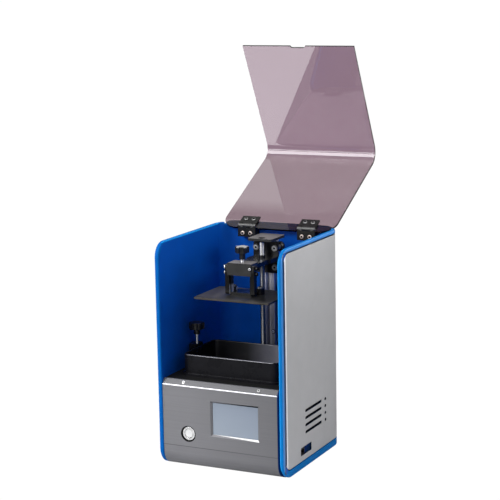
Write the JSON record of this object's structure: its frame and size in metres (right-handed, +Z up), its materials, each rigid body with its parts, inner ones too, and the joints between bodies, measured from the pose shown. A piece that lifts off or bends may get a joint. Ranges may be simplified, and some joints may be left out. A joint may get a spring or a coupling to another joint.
{
  "type": "desktop resin printer",
  "caption": "Desktop resin printer with an open blue shell, a hinged tinted lid, a build plate on a screw-driven lift, a clamped vat and a front display",
  "frame": {"origin": "on the floor below the middle of the body", "axes": "+X to the right, +Y to the back, +Z up"},
  "size_m": [0.206, 0.3831, 0.6178],
  "materials": {
    "blue_paint": "semi-gloss",
    "satin_silver": "satin",
    "grey_panel": "satin",
    "dark_sheet": "satin",
    "rubber": "matte",
    "tinted_acrylic": "gloss",
    "black_hinge": "satin",
    "black_alloy": "satin",
    "plate_alloy": "satin",
    "raw_alloy": "satin",
    "steel": "bright",
    "chrome": "polished",
    "black_plastic": "satin",
    "display": "gloss",
    "screen": "gloss",
    "film": "gloss",
    "lens": "gloss",
    "circuit": "satin",
    "socket_metal": "satin",
    "motor": "satin"
  },
  "bodies": {
    "housing": {"base_plate": "dark_sheet", "board_posts": "circuit", "button_bezel": "chrome", "button_nut": "chrome", "dc_jack": "black_plastic", "deck_plate": "dark_sheet", "display_board": "circuit", "display_glass": "display", "fan_frame": "black_plastic", "film_frame": "black_alloy", "front_panel": "grey_panel", "heat_sink": "raw_alloy", "hinge_blocks": "black_hinge", "hinge_pins": "steel", "hinge_wall_leaves": "black_hinge", "inner_shell": "blue_paint", "lcd_screen": "screen", "led_board": "circuit", "led_lens": "lens", "light_shade": "black_plastic", "limit_switch": "black_plastic", "main_board": "circuit", "motor_mount": "dark_sheet", "outer_cover": "satin_silver", "rubber_feet": "rubber", "stepper_motor": "motor", "top_bearing": "steel", "top_plate": "black_alloy", "usb_socket": "socket_metal", "vat": "black_alloy", "vat_film": "film", "z_column": "raw_alloy"},
    "lid": {"lid_panel": "tinted_acrylic", "hinge_lid_leaves": "black_hinge"},
    "lift": {"lift_plate": "black_alloy", "axle_bolts": "steel", "axle_spacers": "steel", "lift_arm": "black_alloy", "lead_nut": "black_plastic", "upper_bracket": "black_alloy", "lower_bracket": "black_alloy", "leveling_screws": "steel", "build_plate": "plate_alloy"},
    "drive_screw": {"lead_screw": "steel", "shaft_coupler": "raw_alloy", "motor_shaft": "steel"},
    "plate_clamp": {"plate_knob": "black_plastic", "plate_stud": "steel"},
    "vat_clamp_left": {"vat_knob_left": "black_plastic", "vat_stud_left": "steel"},
    "vat_clamp_right": {"vat_knob_right": "black_plastic", "vat_stud_right": "steel"},
    "power_cap": {"button_cap": "chrome"},
    "fan": {"fan_rotor": "black_plastic"},
    "wheel_upper_left": {"wheel_upper_left": "black_plastic"},
    "wheel_upper_right": {"wheel_upper_right": "black_plastic"},
    "wheel_lower_left": {"wheel_lower_left": "black_plastic"},
    "wheel_lower_right": {"wheel_lower_right": "black_plastic"}
  },
  "joints": [
    {"name": "lid_hinge", "type": "hinge", "parent": "housing", "child": "lid", "pos_m": [0, 0.0945, 0.341], "axis": [1, 0, 0], "range_deg": [0, 152.67]},
    {"name": "lift_slide", "type": "slide", "parent": "housing", "child": "lift", "axis": [0, 0, 1], "range_m": [-0.1148, 0.002]},
    {"name": "screw_spin", "type": "hinge", "parent": "housing", "child": "drive_screw", "pos_m": [0, 0.0405, 0.2], "axis": [0, 0, 1], "continuous": true},
    {"name": "plate_clamp_turn", "type": "hinge", "parent": "lift", "child": "plate_clamp", "pos_m": [0, -0.02775, 0.31], "axis": [0, 0, 1], "continuous": true},
    {"name": "vat_clamp_left_turn", "type": "hinge", "parent": "housing", "child": "vat_clamp_left", "pos_m": [-0.0825, -0.023, 0.18], "axis": [0, 0, 1], "continuous": true},
    {"name": "vat_clamp_right_turn", "type": "hinge", "parent": "housing", "child": "vat_clamp_right", "pos_m": [0.0825, -0.023, 0.18], "axis": [0, 0, 1], "continuous": true},
    {"name": "power_press", "type": "slide", "parent": "housing", "child": "power_cap", "axis": [0, 1, 0], "range_m": [0, 0.003], "stiffness_N_per_m": 900},
    {"name": "fan_spin", "type": "hinge", "parent": "housing", "child": "fan", "pos_m": [0.09, -0.003, 0.0728], "axis": [1, 0, 0], "continuous": true},
    {"name": "wheel_upper_left_spin", "type": "hinge", "parent": "lift", "child": "wheel_upper_left", "pos_m": [-0.0157, 0.072, 0.3155], "axis": [0, 1, 0], "continuous": true},
    {"name": "wheel_upper_right_spin", "type": "hinge", "parent": "lift", "child": "wheel_upper_right", "pos_m": [0.0157, 0.072, 0.3155], "axis": [0, 1, 0], "continuous": true},
    {"name": "wheel_lower_left_spin", "type": "hinge", "parent": "lift", "child": "wheel_lower_left", "pos_m": [-0.0157, 0.072, 0.2855], "axis": [0, 1, 0], "continuous": true},
    {"name": "wheel_lower_right_spin", "type": "hinge", "parent": "lift", "child": "wheel_lower_right", "pos_m": [0.0157, 0.072, 0.2855], "axis": [0, 1, 0], "continuous": true}
  ],
  "couplings": [
    {"joint": "screw_spin", "follows": "lift_slide", "rad_per_m": -1570.8},
    {"joint": "wheel_upper_left_spin", "follows": "lift_slide", "rad_per_m": 175.44},
    {"joint": "wheel_upper_right_spin", "follows": "lift_slide", "rad_per_m": -175.44},
    {"joint": "wheel_lower_left_spin", "follows": "lift_slide", "rad_per_m": 175.44},
    {"joint": "wheel_lower_right_spin", "follows": "lift_slide", "rad_per_m": -175.44}
  ]
}
